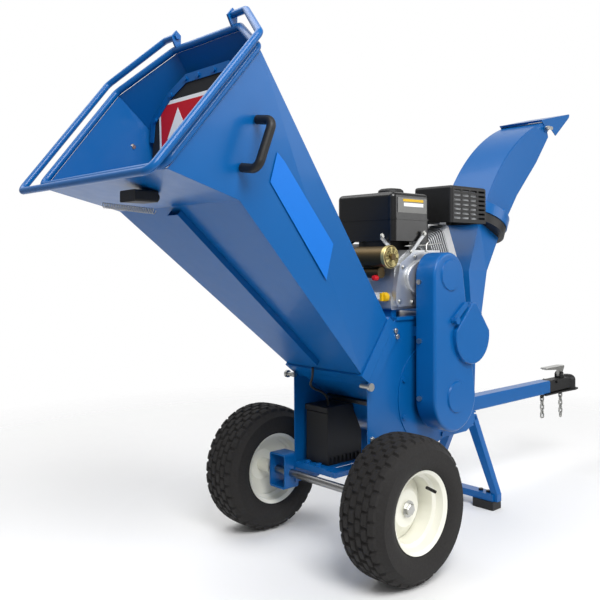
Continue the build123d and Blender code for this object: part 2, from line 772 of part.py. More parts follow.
with BuildPart() as muffler_guard:
    with BuildSketch(level(GUARD_BOX[2][0])):
        with Locations((sum(GUARD_BOX[0]) / 2, sum(GUARD_BOX[1]) / 2)):
            RectangleRounded(GUARD_BOX[0][1] - GUARD_BOX[0][0], GUARD_BOX[1][1] - GUARD_BOX[1][0], 12)
    extrude(amount=GUARD_BOX[2][1] - GUARD_BOX[2][0])
    fillet(muffler_guard.faces().sort_by(Axis.Z)[-1].edges(), 10)
    offset(amount=-2, openings=muffler_guard.faces().sort_by(Axis.Z)[0])
    with BuildSketch(side(GUARD_BOX[0][0] + 10)):
        with Locations((sum(GUARD_BOX[1]) / 2, sum(GUARD_BOX[2]) / 2)):
            with GridLocations(46, 15, 4, 7):
                SlotOverall(38, 7)
    extrude(amount=GUARD_BOX[0][1], mode=Mode.SUBTRACT)
    with BuildSketch(level(GUARD_BOX[2][1] - 10)):
        with Locations((sum(GUARD_BOX[0]) / 2, sum(GUARD_BOX[1]) / 2)):
            with GridLocations(46, 16, 3, 11):
                SlotOverall(38, 8)
    extrude(amount=20, mode=Mode.SUBTRACT)
save("muffler_guard", muffler_guard)

STARTER = (106.0, 900.0)
with BuildPart() as starter_motor:
    with BuildSketch(side(40)):
        with Locations(STARTER):
            Circle(32)
    extrude(amount=114)
    with BuildSketch(side(154)):
        with Locations(STARTER):
            Circle(34)
    extrude(amount=20)
    fillet(starter_motor.faces().sort_by(Axis.X)[-1].edges(), 5)
    with BuildSketch(side(174)):
        with Locations(STARTER):
            Circle(10)
    extrude(amount=6)
    with BuildSketch(side(60)):
        with Locations((112, 852)):
            Circle(17)
    extrude(amount=66)
    with BuildSketch(side(60)):
        with Locations((118, 876)):
            Rectangle(30, 40)
        with Locations((132, 884)):
            Rectangle(22, 26)
    extrude(amount=40)
save("starter_motor", starter_motor)

with BuildPart() as oil_dipstick:
    with BuildSketch(facing(124)):
        with Locations((134, 778)):
            Circle(14)
    extrude(amount=16)
    fillet(oil_dipstick.faces().sort_by(Axis.Y)[0].edges(), 4)
    with BuildSketch(facing(108)):
        with Locations((134, 778)):
            Rectangle(8, 24)
    extrude(amount=9)
save("oil_dipstick", oil_dipstick)

# ---------------------------------------------------------------- discharge duct, collars and chute
LEAN_Y, LEAN_Z = sin(radians(DUCT_LEAN)), cos(radians(DUCT_LEAN))
SWIVEL = Plane(origin=at(0, DUCT_AXIS_Y, DUCT_AXIS_Z), x_dir=(1, 0, 0), z_dir=(0, LEAN_Y, LEAN_Z))


def swivel_point(across, up):
    """A point in (y, z): across the swivel's axis towards the towing end, and up along it."""
    return (DUCT_AXIS_Y + across * LEAN_Z + up * LEAN_Y, DUCT_AXIS_Z - across * LEAN_Y + up * LEAN_Z)


DUCT_TOP_HALF, DUCT_MID_HALF = 78.0, 102.0
DUCT_FRONT = [(540, ENGINE_PLATE_Z), (604, 852), swivel_point(-70, -36)]
DUCT_REAR = [(600, ENGINE_PLATE_Z), (716, 850), swivel_point(68, -36)]
DUCT_HALVES = [BODY_HALF - PLATE, DUCT_MID_HALF, DUCT_TOP_HALF]


def duct_wall(line, inward):
    """One bent wall of the duct, between its left and right edges."""
    quads = []
    for step in range(2):
        (y0, z0), (y1, z1) = line[step], line[step + 1]
        h0, h1 = DUCT_HALVES[step], DUCT_HALVES[step + 1]
        quads.append([(-h0, y0, z0), (h0, y0, z0), (h1, y1, z1), (-h1, y1, z1)])
    return bent_sheet(quads, inward)


def duct_cheek(sign):
    """One side wall of the duct: each stage is two triangles, because the stages taper."""
    faces = []
    for step in range(2):
        h0, h1 = sign * DUCT_HALVES[step], sign * DUCT_HALVES[step + 1]
        front_low, front_top = (h0, *DUCT_FRONT[step]), (h1, *DUCT_FRONT[step + 1])
        rear_low, rear_top = (h0, *DUCT_REAR[step]), (h1, *DUCT_REAR[step + 1])
        faces.append([front_low, rear_low, front_top])
        faces.append([rear_low, rear_top, front_top])
    return bent_sheet(faces, (sign, 0, 0))


save("discharge_duct", group(duct_wall(DUCT_FRONT, (0, 1, 0)), duct_wall(DUCT_REAR, (0, -1, 0)),
                             duct_cheek(1), duct_cheek(-1)))

COLLAR_BORE = 112.0
with BuildPart() as duct_collar:
    with BuildSketch(SWIVEL.offset(-38)):
        Circle(COLLAR_R - 4)
        Rectangle(2 * DUCT_TOP_HALF + 6, 146, mode=Mode.SUBTRACT)
    extrude(amount=4)
    with BuildSketch(SWIVEL.offset(-34)):
        Circle(COLLAR_R - 4)
        Circle(COLLAR_BORE, mode=Mode.SUBTRACT)
    extrude(amount=30)
save("duct_collar", duct_collar)

with BuildPart() as chute_ring:
    with BuildSketch(SWIVEL.offset(-4 + GAP)):
        Circle(COLLAR_R)
        Circle(COLLAR_BORE, mode=Mode.SUBTRACT)
    extrude(amount=36)
    with BuildSketch(SWIVEL.offset(32 + GAP)):
        Circle(COLLAR_R)
        Rectangle(2 * CHUTE_HALF - 6, 134, mode=Mode.SUBTRACT)
    extrude(amount=5)
    fillet(chute_ring.faces().sort_by(Axis(SWIVEL.origin, SWIVEL.z_dir))[-1].edges().sort_by(SortBy.LENGTH)[-1], 3)
    with BuildSketch(SWIVEL.offset(37 + GAP)):
        with PolarLocations(COLLAR_R - 9, 6):
            RegularPolygon(7, 6)
    extrude(amount=6)
save("chute_ring", chute_ring)

CHUTE_BASE = 38.5
CHUTE_FOOT_FRONT, CHUTE_FOOT_REAR = swivel_point(-70, CHUTE_BASE), swivel_point(70, CHUTE_BASE)
CHUTE_CREST = (905.0, 1308.0)
CHUTE_TIP_TOP, CHUTE_TIP_LOW = (1160.0, 1446.0), (1178.0, 1386.0)
with BuildPart() as chute_back:
    with BuildSketch(side(-CHUTE_HALF + 3)):
        with BuildLine():
            ThreePointArc(CHUTE_FOOT_FRONT, CHUTE_CREST, CHUTE_TIP_TOP)
        trace(line_width=3)
    extrude(amount=2 * (CHUTE_HALF - 3))

with BuildPart() as chute_cheeks:
    for x in (-CHUTE_HALF, CHUTE_HALF - 3):
        with BuildSketch(side(x)):
            with BuildLine():
                crest = ThreePointArc(CHUTE_FOOT_FRONT, CHUTE_CREST, CHUTE_TIP_TOP)
                Polyline(crest @ 1, CHUTE_TIP_LOW, (1085, 1276), (942, 1138), CHUTE_FOOT_REAR, CHUTE_FOOT_FRONT)
            make_face()
        extrude(amount=3)

with BuildPart() as chute_front:
    with BuildSketch(side(-CHUTE_HALF + 3)):
        with BuildLine():
            Polyline((CHUTE_FOOT_REAR[0] - 2, CHUTE_FOOT_REAR[1] + 1), (940, 1139), (1020, 1216))
        trace(line_width=3)
    extrude(amount=2 * (CHUTE_HALF - 3))
save("chute", group(chute_back, chute_cheeks, chute_front))

FLAP_PIVOT = (1192.0, 1424.0)
FLAP_TIP = (1346.0, 1494.0)
FLAP_HALF = CHUTE_HALF + 0.8
with BuildPart() as deflector:
    for x in (-FLAP_HALF - 3, FLAP_HALF):
        with BuildSketch(side(x)):
            with BuildLine():
                Polyline((1128, 1442), FLAP_TIP, (1342, 1484), (1232, 1398), FLAP_PIVOT, (1150, 1424), close=True)
            make_face()
            with Locations((FLAP_PIVOT[0] - 34, FLAP_PIVOT[1] - 4)):
                Circle(16)
                Circle(5 + FIT, mode=Mode.SUBTRACT)
        extrude(amount=3)
    with BuildSketch(side(-FLAP_HALF - 3)):
        with BuildLine():
            Polyline((1128, 1442), (1120, 1449), (1345, 1500), FLAP_TIP, close=True)
        make_face()
    extrude(amount=2 * FLAP_HALF + 6)
save("deflector", deflector)

FLAP_BOLT = (FLAP_PIVOT[0] - 34, FLAP_PIVOT[1] - 4)
with BuildPart() as deflector_bolts:
    for low, tall in ((CHUTE_HALF, 14), (-CHUTE_HALF - 14, 14)):
        with BuildSketch(side(low)):
            with Locations(FLAP_BOLT):
                Circle(5)
        extrude(amount=tall)
    for low, tall in ((FLAP_HALF + 3.4, 8), (-FLAP_HALF - 11.4, 8)):
        with BuildSketch(side(low)):
            with Locations(FLAP_BOLT):
                RegularPolygon(10, 6)
        extrude(amount=tall)
    with BuildSketch(side(FLAP_HALF + 11.4)):
        with Locations(FLAP_BOLT):
            SlotOverall(46, 12)
    extrude(amount=8)
save("deflector_bolts", deflector_bolts)

# ---------------------------------------------------------------- tow bar, coupler, chains
BAR_LOW_Z = BAR_CENTRE_Z - BAR_SIDE / 2
BAR_START_Y = 505.0
with BuildPart() as tow_bar:
    with BuildSketch(facing(BAR_START_Y)):
        with Locations((0, BAR_CENTRE_Z)):
            RectangleRounded(BAR_SIDE, BAR_SIDE, 5)
            RectangleRounded(BAR_SIDE - 8, BAR_SIDE - 8, 2, mode=Mode.SUBTRACT)
    extrude(amount=BAR_START_Y - BAR_END_Y)
    with BuildSketch(level(BAR_LOW_Z - 4)):
        with Locations((0, 530)):
            Rectangle(2 * INNER, 50)
    extrude(amount=4)

PIN_R = 7.0
EAR_X = BAR_SIDE / 2 + 2
with BuildPart() as stand_bracket:
    with BuildSketch(level(BAR_LOW_Z - 5)):
        with Locations((0, STAND_PIVOT[0])):
            Rectangle(2 * EAR_X, 84)
    extrude(amount=5)
    for x in (-EAR_X + 4, EAR_X - 10):
        with BuildSketch(side(x)):
            with BuildLine():
                Polyline((STAND_PIVOT[0] - 36, BAR_LOW_Z - 4), (STAND_PIVOT[0] - 16, 292),
                         (STAND_PIVOT[0] + 16, 292), (STAND_PIVOT[0] + 36, BAR_LOW_Z - 4), close=True)
            make_face()
        extrude(amount=6)
    with BuildSketch(side(-EAR_X - 22)):
        with Locations(STAND_PIVOT):
            Circle(PIN_R)
    extrude(amount=2 * EAR_X + 44)
save("tow_bar", group(tow_bar, stand_bracket))

LEG_SIDE = 26.0
LEG_TOP_X = EAR_X + 13
CROSSBAR_Z = 42.0
with BuildPart() as stand_legs:
    for sign in (1, -1):
        with BuildSketch(facing(STAND_PIVOT[0] + LEG_SIDE / 2)):
            with BuildLine():
                Polyline((sign * (LEG_TOP_X - 11), STAND_PIVOT[1] + 12),
                         (sign * (LEG_TOP_X + 9), STAND_PIVOT[1] + 12),
                         (sign * (FOOT_HALF + 52), CROSSBAR_Z + 14), (sign * (FOOT_HALF + 52), CROSSBAR_Z - 12),
                         (sign * (FOOT_HALF + 34), CROSSBAR_Z - 12), (sign * (FOOT_HALF + 26), CROSSBAR_Z + 14),
                         (sign * (LEG_TOP_X - 11), STAND_PIVOT[1] - 30), close=True)
            make_face()
        extrude(amount=LEG_SIDE)
    with BuildSketch(facing(STAND_PIVOT[0] + 22)):
        with Locations((0, CROSSBAR_Z)):
            Rectangle(2 * FOOT_HALF + 78, 24)
    extrude(amount=44)
    with BuildSketch(side(-FOOT_HALF - 60)):
        with Locations(STAND_PIVOT):
            Circle(PIN_R + FIT)
    extrude(amount=2 * FOOT_HALF + 120, mode=Mode.SUBTRACT)
save("stand_legs", stand_legs)

FOOT_TOP = CROSSBAR_Z - 12
with BuildPart() as stand_feet:
    for sign in (1, -1):
        with BuildSketch(level(0)):
            with Locations((sign * FOOT_HALF, STAND_PIVOT[0])):
                RectangleRounded(86, 56, 5)
        extrude(amount=FOOT_TOP)
        with BuildSketch(level(CROSSBAR_Z + 12)):
            with Locations((sign * (FOOT_HALF - 24), STAND_PIVOT[0]), (sign * (FOOT_HALF + 8), STAND_PIVOT[0])):
                RegularPolygon(9, 6)
        extrude(amount=7)
save("stand_feet", stand_feet)

COUPLER_START_Y = 1262.0
with BuildPart() as coupler_body:
    with BuildSketch(level(BAR_LOW_Z - 6)):
        with BuildLine():
            Polyline((-32, COUPLER_START_Y), (32, COUPLER_START_Y), (32, 1400), (40, BALL_Y), (32, 1536), (0, 1548),
                     (-32, 1536), (-40, BALL_Y), (-32, 1400), close=True)
        make_face()
    extrude(amount=6)
    with BuildSketch(level(BAR_LOW_Z)):
        with Locations((0, BALL_Y)):
            Circle(34)
    extrude(amount=58)
    fillet(coupler_body.faces().sort_by(Axis.Z)[-1].edges(), 22)
    with BuildSketch(facing(BAR_END_Y)):
        with Locations((0, BAR_CENTRE_Z)):
            RectangleRounded(BAR_SIDE, BAR_SIDE - 2, 6)
    extrude(amount=-(BALL_Y - BAR_END_Y - 10))
    with BuildSketch(level(BAR_LOW_Z - 6)):
        with Locations((0, BALL_Y)):
            Circle(BALL_R + 0.4)
    extrude(amount=34, mode=Mode.SUBTRACT)
    with BuildSketch(side(-34)):
        with Locations((1356, BAR_CENTRE_Z + 18)):
            Circle(6)
    extrude(amount=68)

LATCH_PIVOT = (1430.0, BAR_CENTRE_Z + BAR_SIDE / 2 + 14)
with BuildPart() as coupler_ears:
    for x in (-14, 8):
        with BuildSketch(side(x)):
            with Locations((LATCH_PIVOT[0], LATCH_PIVOT[1] - 7)):
                Rectangle(30, 16)
            with Locations(LATCH_PIVOT):
                Circle(12)
                Circle(4 + FIT, mode=Mode.SUBTRACT)
        extrude(amount=6)
with BuildPart() as coupler_latch:
    with BuildSketch(side(-14.2 - 6)):
        with Locations(LATCH_PIVOT):
            Circle(4)
    extrude(amount=40.4)
    with BuildSketch(side(-7)):
        with BuildLine():
            Polyline((LATCH_PIVOT[0] - 12, LATCH_PIVOT[1] - 8), (LATCH_PIVOT[0] + 12, LATCH_PIVOT[1] - 8),
                     (1448, 402), (1462, 424), (1450, 432), (1300, 430), (1296, 424), (LATCH_PIVOT[0] - 12, 414),
                     close=True)
        make_face()
    extrude(amount=14)
    with BuildSketch(level(428)):
        with Locations((0, 1372)):
            RectangleRounded(34, 152, 8)
    extrude(amount=4)
save("coupler_latch", coupler_latch)

CHAIN_EYE_Z = BAR_LOW_Z - 12
LINK_PITCH, LINK_WIRE = 17.0, 2.4


def chain(name, y, count):
    """A hanging chain of separate flat-sided links, each turned a quarter from the last."""
    with BuildPart() as links:
        for link in range(count):
            z = CHAIN_EYE_Z - 12.1 - link * LINK_PITCH
            frame_plane = side(0) if link % 2 else facing(y)
            middle = (y, z) if link % 2 else (0, z)
            with BuildSketch(frame_plane.offset(-LINK_WIRE)):
                with Locations(middle):
                    with Locations(Location((0, 0, 0), (0, 0, 1), 90)):
                        SlotOverall(27, 17)
                        SlotOverall(27 - 4 * LINK_WIRE, 17 - 4 * LINK_WIRE, mode=Mode.SUBTRACT)
            extrude(amount=2 * LINK_WIRE)
    save(name, links)


chain("chain_front", 1284.0, 5)
chain("chain_rear", 1438.0, 6)
with BuildPart() as chain_eyes:
    for y in (1284.0, 1438.0):
        with BuildSketch(side(-2.5)):
            with Locations((y, CHAIN_EYE_Z - 1)):
                SlotOverall(24, 18)
                Circle(4.6, mode=Mode.SUBTRACT)
        extrude(amount=5)
save("coupler_body", group(coupler_body, coupler_ears, chain_eyes))

# ---------------------------------------------------------------- hopper
MOUTH_LOW = mouth_point(MOUTH_LOW_HALF, 0)
MOUTH_WIDE = mouth_point(MOUTH_WIDE_HALF, MOUTH_WIDE_AT)
MOUTH_TOP = mouth_point(MOUTH_TOP_HALF, MOUTH_TOP_AT)
THROAT_LOW = (BODY_HALF - 1, *seam_point(0.5, COLLAR - 4))
THROAT_HIGH = (BODY_HALF - 1, *seam_point(SEAM_LENGTH - 1.6, COLLAR - 4))


def flat_with(a, b, c, y, z):
    """The point at (y, z) that lies in the plane of three others."""
    normal = (Vector(*b) - Vector(*a)).cross(Vector(*c) - Vector(*a))
    return (a[0] - (normal.Y * (y - a[1]) + normal.Z * (z - a[2])) / normal.X, y, z)


BEND = flat_with(MOUTH_LOW, MOUTH_WIDE, THROAT_LOW, *FLOOR_BEND)

hopper_side_right = bent_sheet([
    [MOUTH_LOW, MOUTH_WIDE, THROAT_LOW, BEND], [MOUTH_WIDE, THROAT_HIGH, THROAT_LOW]], (-1, 0, 0))
save("hopper_sides", group(hopper_side_right, mirrored(hopper_side_right)))


def mirror_x(point):
    """The left-hand twin of a point in (x, y, z)."""
    return (-point[0], point[1], point[2])


# The roof: a middle sheet, and a sloping shoulder on each side down to the side sheet
ROOF_TRIM = 3.2


def trimmed(point, trim=ROOF_TRIM):
    """A corner moved towards the middle plane, to lie inside the side sheets."""
    return (point[0] - trim if point[0] > 0 else point[0] + trim, point[1], point[2])


hopper_roof = bent_sheet([
    [trimmed(MOUTH_TOP), trimmed(mirror_x(MOUTH_TOP)), mirror_x(trimmed(THROAT_HIGH)), trimmed(THROAT_HIGH)],
    [trimmed(MOUTH_WIDE), trimmed(MOUTH_TOP), trimmed(THROAT_HIGH)],
    [mirror_x(trimmed(MOUTH_WIDE)), trimmed(mirror_x(MOUTH_TOP)), mirror_x(trimmed(THROAT_HIGH))]],
    (0, -0.81, -0.58))

hopper_floor = bent_sheet([
    [trimmed(MOUTH_LOW), trimmed(mirror_x(MOUTH_LOW)), mirror_x(trimmed(BEND)), trimmed(BEND)],
    [trimmed(BEND), mirror_x(trimmed(BEND)), mirror_x(trimmed(THROAT_LOW)), trimmed(THROAT_LOW)]],
    (0, *MOUTH_UP))

# The rim: one closed tube round the mouth, outside the sheets' edges
RIM_LIFT = RIM_TUBE_R + 0.9


def half_tube(points, radius, bend):
    """The right-hand half of a tube round the mouth, from points in (x, y, z)."""
    return tube_along([at(*point) for point in points], radius, bend)


rim_half = half_tube([mouth_point(0, 0, RIM_LIFT), mouth_point(MOUTH_LOW_HALF, 0, RIM_LIFT),
                      mouth_point(MOUTH_WIDE_HALF, MOUTH_WIDE_AT, RIM_LIFT),
                      mouth_point(MOUTH_TOP_HALF, MOUTH_TOP_AT, RIM_LIFT),
                      mouth_point(0, MOUTH_TOP_AT, RIM_LIFT)], RIM_TUBE_R, 26)
BAR_TOP_AT = MOUTH_TOP_AT + 20
LUG_X = 128.0
with BuildPart() as hopper_rim:
    add(rim_half.part)
    add(rim_half.part.mirror(Plane.YZ))
    for x in (LUG_X - 3, -LUG_X - 3):
        with BuildSketch(side(x)):
            with BuildLine():
                Polyline(mouth_point(0, MOUTH_TOP_AT - 9, RIM_LIFT)[1:],
                         mouth_point(0, BAR_TOP_AT - 13, BAR_PROUD + 12)[1:],
                         mouth_point(0, BAR_TOP_AT + 13, BAR_PROUD + 12)[1:],
                         mouth_point(0, BAR_TOP_AT + 13, BAR_PROUD - 8)[1:],
                         mouth_point(0, MOUTH_TOP_AT + 9, RIM_LIFT)[1:], close=True)
            make_face()
            with Locations(mouth_point(0, BAR_TOP_AT, BAR_PROUD)[1:]):
                Circle(5 + FIT, mode=Mode.SUBTRACT)
        extrude(amount=6)
save("hopper_rim", hopper_rim)

# The stop bar: a U of tube round the mouth, hung on two bolts at its top
BAR_DROP, BAR_OUT = 43.0, 22.0
bar_half = half_tube([mouth_point(0, -BAR_DROP, BAR_PROUD),
                      mouth_point(MOUTH_LOW_HALF + BAR_OUT, -BAR_DROP, BAR_PROUD),
                      mouth_point(MOUTH_WIDE_HALF + BAR_OUT + 2, MOUTH_WIDE_AT + 10, BAR_PROUD),
                      mouth_point(MOUTH_TOP_HALF + 34, BAR_TOP_AT, BAR_PROUD),
                      mouth_point(LUG_X + 4.4, BAR_TOP_AT, BAR_PROUD)], BAR_R, 22)
with BuildPart() as safety_bar:
    add(bar_half.part)
    add(bar_half.part.mirror(Plane.YZ))
    for low, tall in ((LUG_X - 10, 20), (-LUG_X - 10, 20)):
        with BuildSketch(side(low)):
            with Locations(mouth_point(0, BAR_TOP_AT, BAR_PROUD)[1:]):
                Circle(5)
        extrude(amount=tall)
    for low in (LUG_X - 10, -LUG_X + 4):
        with BuildSketch(side(low)):
            with Locations(mouth_point(0, BAR_TOP_AT, BAR_PROUD)[1:]):
                RegularPolygon(9, 6)
        extrude(amount=6)
save("safety_bar", safety_bar)

HANDLE_TUBE_R = 11.0
PANEL_OUT = Vector(0.987, 0.081, -0.139)
HANDLE_TOP, HANDLE_LOW = (304.0, -530.0, 1217.0), (290.0, -564.0, 1104.0)


def off_panel(point, distance):
    """A point a distance outside the right-hand side sheet."""
    return at(*point) + PANEL_OUT * distance


hopper_handle = tube_along([off_panel(HANDLE_TOP, 0.6), off_panel(HANDLE_TOP, 52),
                            off_panel(HANDLE_LOW, 52), off_panel(HANDLE_LOW, 0.6)], HANDLE_TUBE_R, 20)
save("hopper_handle", hopper_handle)

# The rubber curtain hangs behind a bolted arch inside the mouth
CURTAIN_Y = -448.0
CURTAIN_HALF = [(0, 1398), (101, 1398), (184, 1362), (266, 1299), (276, 1150), (258, 1040), (0, 1040)]
ARCH_LOW = [(0, 1385), (95, 1385), (175, 1350), (255, 1290), (264, 1236)]
ARCH_HIGH = [(282, 1240), (274, 1302), (187, 1371), (101, 1407), (0, 1407)]
ROOF_AT_ARCH_Y = -402.0


def arch_bolts(x, z):
    """One bolt head on the arch, and its twin on the other side."""
    with BuildPart() as heads:
        with BuildSketch(facing(CURTAIN_Y - 7)):
            with Locations((x, z), (-x, z)):
                Circle(7)
        extrude(amount=5)
    return heads


with BuildPart() as arch_right:
    with BuildSketch(facing(CURTAIN_Y - 4.5)):
        with BuildLine():
            Polyline(*ARCH_LOW, *ARCH_HIGH, close=True)
        make_face()
    extrude(amount=2.5)
with BuildPart() as arch_top:
    with BuildSketch(side(-100)):
        with BuildLine():
            Polyline((CURTAIN_Y - 7, 1407), (CURTAIN_Y - 7, 1409), (ROOF_AT_ARCH_Y, 1409),
                     (ROOF_AT_ARCH_Y + 1.4, 1407), close=True)
        make_face()
    extrude(amount=200)
save("hopper_roof", group(hopper_roof, arch_right, mirrored(arch_right), arch_top, arch_bolts(250, 1300),
                          arch_bolts(170, 1362), arch_bolts(95, 1396), arch_bolts(36, 1396)))
with BuildPart() as curtain_right:
    with BuildSketch(facing(CURTAIN_Y)):
        with BuildLine():
            Polyline(*CURTAIN_HALF, close=True)
        make_face()
    extrude(amount=4)
save("curtain", group(curtain_right, mirrored(curtain_right)))

# Under the floor: the stop switch, its cable cover down to the throat, and a return spring
FLOOR_SLOPE = (THROAT_LOW[1] - BEND[1], THROAT_LOW[2] - BEND[2])
FLOOR_LENGTH = (FLOOR_SLOPE[0] ** 2 + FLOOR_SLOPE[1] ** 2) ** 0.5
FLOOR_DOWN = (FLOOR_SLOPE[0] / FLOOR_LENGTH, FLOOR_SLOPE[1] / FLOOR_LENGTH)


def under_floor(along, below):
    """A point in (y, z): along the main floor from its bend, and below it."""
    return (BEND[1] + FLOOR_DOWN[0] * along + FLOOR_DOWN[1] * below,
            BEND[2] + FLOOR_DOWN[1] * along - FLOOR_DOWN[0] * below)


CHANNEL_X = (-28.0, 20.0)
with BuildPart() as cable_cover:
    for low, high, depth in ((CHANNEL_X[0], CHANNEL_X[0] + 2, 16), (CHANNEL_X[1] - 2, CHANNEL_X[1], 16)):
        with BuildSketch(side(low)):
            with BuildLine():
                Polyline(under_floor(14, 0.4), under_floor(FLOOR_LENGTH - 46, 0.4),
                         under_floor(FLOOR_LENGTH - 46, depth), under_floor(14, depth), close=True)
            make_face()
        extrude(amount=high - low)
    with BuildSketch(side(CHANNEL_X[0])):
        with BuildLine():
            Polyline(under_floor(14, 16), under_floor(FLOOR_LENGTH - 46, 16), under_floor(FLOOR_LENGTH - 46, 18),
                     under_floor(14, 18), close=True)
        make_face()
    extrude(amount=CHANNEL_X[1] - CHANNEL_X[0])
save("hopper_floor", group(hopper_floor, cable_cover))

with BuildPart() as stop_switch:
    with BuildSketch(facing(-735)):
        with Locations((70, 1043.5)):
            RectangleRounded(70, 28, 5)
    extrude(amount=-64)
    with BuildSketch(facing(-671)):
        with Locations((70, 1043.5)):
            Circle(9)
    extrude(amount=-20)
save("stop_switch", stop_switch)

SPRING_START, SPRING_END = (-20.0, -748.0, 1026.0), (115.0, -690.0, 1006.0)
with BuildPart() as return_spring:
    spring_line = Vector(*SPRING_END) - Vector(*SPRING_START)
    with BuildSketch(Plane(origin=at(*SPRING_START), z_dir=spring_line)):
        Circle(7.5)
        Circle(5.5, mode=Mode.SUBTRACT)
    extrude(amount=spring_line.length)
save("return_spring", return_spring)

# ---------------------------------------------------------------- hinge of the hopper, and fasteners
with BuildPart() as hinge_pins:
    for low, tall in ((BODY_HALF - 18, 34), (-BODY_HALF - 16, 34)):
        with BuildSketch(side(low)):
            with Locations(HINGE):
                Circle(7)
        extrude(amount=tall)
    for low in (BODY_HALF + 16, -BODY_HALF - 24):
        with BuildSketch(side(low)):
            with Locations(HINGE):
                Circle(12)
        extrude(amount=8)


def bolts(points, x, outward, radius=8.0):
    """Round bolt heads on a face across X."""
    return group(*[bolt_x(point, x, outward, radius) for point in points])


SEAM_BOLTS = [seam_point(SEAM_LENGTH - 12, -14), seam_point(SEAM_LENGTH - 22, -30)]
GUARD_BOLTS = [823.0, 642.0, 466.0]
with BuildPart() as guard_bolts:
    for z in GUARD_BOLTS:
        edge_y = CRANK[0] - GUARD_R_TOP if z > 640 else ROTOR[0] - GUARD_R_LOW
        with BuildSketch(facing(edge_y - 0.2)):
            with Locations((GUARD_BACK_X + 10, z)):
                Circle(8)
        extrude(amount=6)
save("frame_bolts", group(
    hinge_pins, guard_bolts, bolts(SEAM_BOLTS, BODY_HALF + LIP, 1), bolts(SEAM_BOLTS, -BODY_HALF - LIP, -1),
    bolts([(28, 362), (581 - 20, 640)], BODY_HALF, 1), bolts([(28, 362), (561, 640)], -BODY_HALF, -1)))

# ---------------------------------------------------------------- battery lead, held at both ends
LEAD_R = 4.0
LEAD_ROUTE = [(-70, 78, LID_TOP + 0.2), (-70, 78, 462), (-48, -30, 496), (-10, -46, 540), (-6, -54, 564)]
battery_lead = tube_along([at(*point) for point in LEAD_ROUTE], LEAD_R, 24)
save("battery_lead", battery_lead)
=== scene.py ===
"""Looks of the wood chipper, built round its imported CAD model."""

import bmesh
import bpy
import json
import math
from mathutils import Matrix, Vector


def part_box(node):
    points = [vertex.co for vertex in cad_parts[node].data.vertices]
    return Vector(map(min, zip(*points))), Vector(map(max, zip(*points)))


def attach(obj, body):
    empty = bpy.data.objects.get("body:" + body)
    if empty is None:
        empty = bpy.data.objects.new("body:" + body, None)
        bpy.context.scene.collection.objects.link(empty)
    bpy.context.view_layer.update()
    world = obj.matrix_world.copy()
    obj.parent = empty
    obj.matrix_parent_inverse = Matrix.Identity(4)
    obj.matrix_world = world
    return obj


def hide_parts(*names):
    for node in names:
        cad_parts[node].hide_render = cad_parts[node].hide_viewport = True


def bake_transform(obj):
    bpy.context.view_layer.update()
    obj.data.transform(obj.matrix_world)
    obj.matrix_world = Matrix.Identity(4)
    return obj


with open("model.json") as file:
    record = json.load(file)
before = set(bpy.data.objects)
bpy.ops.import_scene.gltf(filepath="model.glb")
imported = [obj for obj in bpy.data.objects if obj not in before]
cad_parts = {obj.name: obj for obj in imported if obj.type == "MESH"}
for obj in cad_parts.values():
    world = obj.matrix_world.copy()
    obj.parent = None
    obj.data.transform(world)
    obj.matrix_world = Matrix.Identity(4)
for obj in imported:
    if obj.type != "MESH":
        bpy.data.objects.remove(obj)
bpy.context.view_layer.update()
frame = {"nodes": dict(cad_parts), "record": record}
NODES = frame["nodes"]
MM = 0.001
X_WAY, Y_WAY, Z_WAY = Vector((1, 0, 0)), Vector((0, 1, 0)), Vector((0, 0, 1))
# A lathe's profile starts this close to its axis
ON_AXIS = 0.0001


# ---------------------------------------------------------------- places read from the frame
def low(node):
    return Vector(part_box(node)[0])


def high(node):
    return Vector(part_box(node)[1])


def mid(node):
    return (low(node) + high(node)) / 2


AXLE = mid("axle")
AXLE_Y = AXLE.y
JOINTS = {j["name"]: j for j in frame["record"]["behaviour"]["joints"]}
ROTOR = Vector(JOINTS["rotor_spin"]["pos_m"])


def at(x, y, z):
    """Millimetres, y from the axle, to a place in the frame."""
    return Vector((x * MM, AXLE_Y + y * MM, z * MM))


# ---------------------------------------------------------------- materials
def linear(r, g, b):
    """A colour from 0 to 255 as the linear values that the shader takes."""
    def one(c):
        c /= 255
        return c / 12.92 if c <= 0.04045 else ((c + 0.055) / 1.055) ** 2.4
    return (one(r), one(g), one(b))


def material(name, rgb, rough, metal=0.0, coat=0.0, bump=0.0, scale=80.0, mottle=0.0, shine=0.5):
    """A plain finish with optional fine bump, and optional slow variation of its roughness."""
    made = bpy.data.materials.new(name)
    made.use_nodes = True
    tree = made.node_tree
    shader = tree.nodes["Principled BSDF"]
    shader.inputs["Base Color"].default_value = (*linear(*rgb), 1)
    shader.inputs["Roughness"].default_value = rough
    shader.inputs["Metallic"].default_value = metal
    shader.inputs["Coat Weight"].default_value = coat
    shader.inputs["Coat Roughness"].default_value = 0.08
    shader.inputs["Specular IOR Level"].default_value = shine
    place = tree.nodes.new("ShaderNodeTexCoord")
    noise = tree.nodes.new("ShaderNodeTexNoise")
    noise.inputs["Scale"].default_value = scale
    noise.inputs["Detail"].default_value = 4.0
    tree.links.new(place.outputs["Object"], noise.inputs["Vector"])
    if bump:
        relief = tree.nodes.new("ShaderNodeBump")
        relief.inputs["Strength"].default_value = bump
        relief.inputs["Distance"].default_value = 0.002
        tree.links.new(noise.outputs["Fac"], relief.inputs["Height"])
        tree.links.new(relief.outputs["Normal"], shader.inputs["Normal"])
    if mottle:
        ramp = tree.nodes.new("ShaderNodeMapRange")
        ramp.inputs["To Min"].default_value = max(rough - mottle, 0.03)
        ramp.inputs["To Max"].default_value = rough + mottle
        tree.links.new(noise.outputs["Fac"], ramp.inputs["Value"])
        tree.links.new(ramp.outputs["Result"], shader.inputs["Roughness"])
    return made


